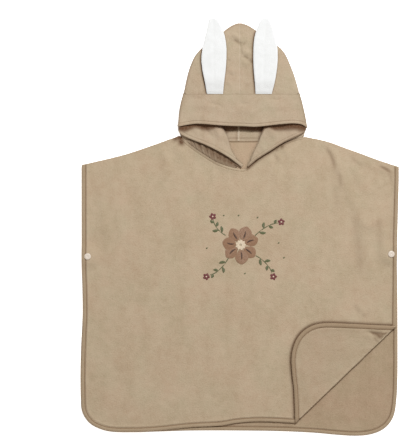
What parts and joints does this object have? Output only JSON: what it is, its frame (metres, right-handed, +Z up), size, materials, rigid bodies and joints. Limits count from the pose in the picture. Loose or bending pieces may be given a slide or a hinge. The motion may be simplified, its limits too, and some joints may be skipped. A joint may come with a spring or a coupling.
{
  "type": "hooded bath poncho",
  "caption": "Toddler's hooded terry bath poncho laid flat on its back, with long soft ears on the hood, bound edges, side press snaps and one front corner folded up.",
  "frame": {"origin": "middle of the laid piece's outline, on the surface it lies on", "axes": "+X to the right of the laid piece as seen from above, +Y from the hem towards the hood, +Z up from the surface through the back panel to the front panel"},
  "size_m": [0.6039, 0.7925, 0.02],
  "materials": {
    "terry": "looped cotton terry, sand beige",
    "terry_binding": "ribbed cotton tape, a little darker than the terry",
    "white_cloth": "soft white plush",
    "snap_plastic": "satin moulded plastic, pale beige"
  },
  "bodies": {
    "root": {"back_panel": "terry", "front_panel": "terry", "hood_left": "terry", "hood_right": "terry", "hood_band": "terry", "binding_back": "terry_binding", "binding_front": "terry_binding", "ear_left": "white_cloth", "ear_right": "white_cloth", "snap_cap_front_left": "snap_plastic", "snap_socket_left": "snap_plastic", "snap_stud_left": "snap_plastic", "snap_cap_back_left": "snap_plastic", "snap_cap_front_right": "snap_plastic", "snap_socket_right": "snap_plastic", "snap_stud_right": "snap_plastic", "snap_cap_back_right": "snap_plastic"}
  },
  "joints": []
}
